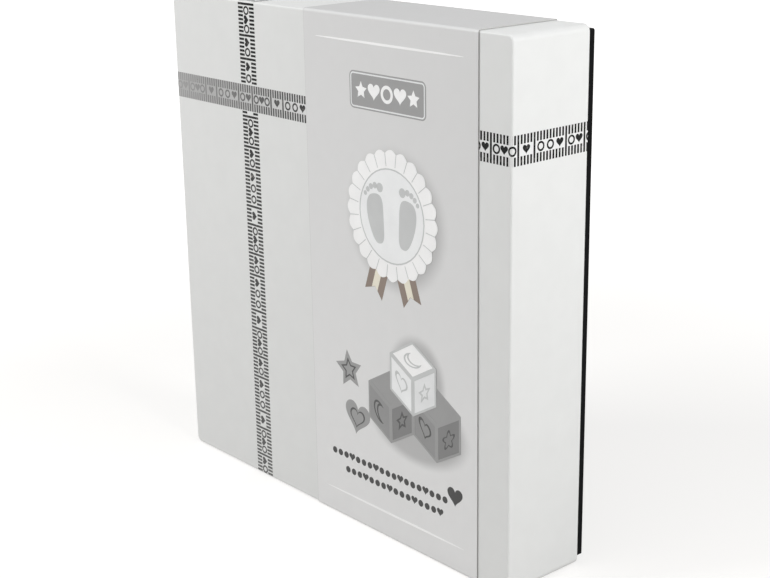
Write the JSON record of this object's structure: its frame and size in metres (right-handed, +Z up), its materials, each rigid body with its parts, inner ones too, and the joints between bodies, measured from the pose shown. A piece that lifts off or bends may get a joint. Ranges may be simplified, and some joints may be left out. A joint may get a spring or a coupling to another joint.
{
  "type": "baby handprint frame gift box",
  "caption": "Square lift-off-lid gift box with a card sleeve, holding a hinged double frame with a handprint in clay and a divided keepsake box.",
  "frame": {"origin": "under the middle of the closed box, on the surface that it stands on", "axes": "+Z up, +X to the right along the lid's face, +Y into the box; the lid's face looks towards -Y"},
  "size_m": [0.2944, 0.063, 0.3013],
  "materials": {
    "white_wrapped_board": "satin",
    "black_wrapped_board": "satin",
    "grey_card": "satin",
    "formed_sheet": "matte",
    "grey_wrapped_board": "matte",
    "grey_paper": "matte",
    "white_painted_wood": "satin",
    "white_clay": "matte",
    "foam": "matte",
    "back_board": "matte",
    "clear_pane": "gloss",
    "photo_paper": "gloss",
    "mount_card": "matte",
    "plated_steel": "satin"
  },
  "bodies": {
    "base": {"base_tray": "black_wrapped_board", "nest_insert": "formed_sheet", "keepsake_tray": "grey_wrapped_board", "keepsake_long_divider": "grey_wrapped_board", "keepsake_left_divider": "grey_wrapped_board", "keepsake_right_divider": "grey_wrapped_board", "envelope_pocket": "grey_paper", "pillow_box": "grey_paper"},
    "lid": {"lid_shell": "white_wrapped_board"},
    "sleeve": {"sleeve_band": "grey_card"},
    "keepsake_cover": {"keepsake_lid": "white_wrapped_board"},
    "flap": {"envelope_flap": "grey_paper"},
    "clay_leaf": {"clay_rail_top": "white_painted_wood", "clay_rail_bottom": "white_painted_wood", "clay_rail_left": "white_painted_wood", "clay_rail_right": "white_painted_wood", "clay_slab": "white_clay", "clay_foam_pad": "foam", "clay_back_board": "back_board", "clay_button_screws": "plated_steel", "lower_hinge_clay_plate": "plated_steel", "upper_hinge_clay_plate": "plated_steel", "lower_hinge_pin": "plated_steel", "upper_hinge_pin": "plated_steel"},
    "photo_leaf": {"photo_rail_top": "white_painted_wood", "photo_rail_bottom": "white_painted_wood", "photo_rail_left": "white_painted_wood", "photo_rail_right": "white_painted_wood", "photo_pane": "clear_pane", "photo_print": "photo_paper", "photo_card": "mount_card", "photo_spacer": "mount_card", "photo_back_board": "back_board", "photo_button_screws": "plated_steel", "lower_hinge_photo_plate": "plated_steel", "upper_hinge_photo_plate": "plated_steel"},
    "clay_top_button": {"clay_button_top": "plated_steel"},
    "clay_bottom_button": {"clay_button_bottom": "plated_steel"},
    "photo_top_button": {"photo_button_top": "plated_steel"},
    "photo_bottom_button": {"photo_button_bottom": "plated_steel"}
  },
  "joints": [
    {"name": "lid_lift", "type": "slide", "parent": "base", "child": "lid", "axis": [0, -1, 0], "range_m": [0, 0.5]},
    {"name": "sleeve_slide", "type": "slide", "parent": "lid", "child": "sleeve", "axis": [1, 0, 0], "range_m": [-0.127, 0.018]},
    {"name": "frame_lift", "type": "slide", "parent": "base", "child": "clay_leaf", "axis": [0, -1, 0], "range_m": [0, 0.075]},
    {"name": "frame_fold", "type": "hinge", "parent": "clay_leaf", "child": "photo_leaf", "pos_m": [0, -0.02593, 0.20475], "axis": [0, 0, 1], "range_deg": [0, 175]},
    {"name": "keepsake_cover_lift", "type": "slide", "parent": "base", "child": "keepsake_cover", "axis": [0, -1, 0], "range_m": [0, 0.15]},
    {"name": "envelope_flap_open", "type": "hinge", "parent": "base", "child": "flap", "pos_m": [-0.09735, -0.02057, 0.10775], "axis": [-1, 0, 0], "range_deg": [0, 100]},
    {"name": "clay_top_button_turn", "type": "hinge", "parent": "clay_leaf", "child": "clay_top_button", "pos_m": [0.07032, -0.00553, 0.28255], "axis": [0, 1, 0], "range_deg": [0, 90]},
    {"name": "clay_bottom_button_turn", "type": "hinge", "parent": "clay_leaf", "child": "clay_bottom_button", "pos_m": [0.07032, -0.00553, 0.12695], "axis": [0, 1, 0], "range_deg": [0, 90]},
    {"name": "photo_top_button_turn", "type": "hinge", "parent": "photo_leaf", "child": "photo_top_button", "pos_m": [-0.07032, -0.00553, 0.28255], "axis": [0, 1, 0], "range_deg": [0, 90]},
    {"name": "photo_bottom_button_turn", "type": "hinge", "parent": "photo_leaf", "child": "photo_bottom_button", "pos_m": [-0.07032, -0.00553, 0.12695], "axis": [0, 1, 0], "range_deg": [0, 90]}
  ],
  "couplings": [
    {"joint": "frame_lift", "follows": "lid_lift", "ratio": 0.15},
    {"joint": "frame_fold", "follows": "lid_lift", "rad_per_m": 6.1},
    {"joint": "keepsake_cover_lift", "follows": "lid_lift", "ratio": 0.3},
    {"joint": "envelope_flap_open", "follows": "lid_lift", "rad_per_m": 3.45}
  ]
}
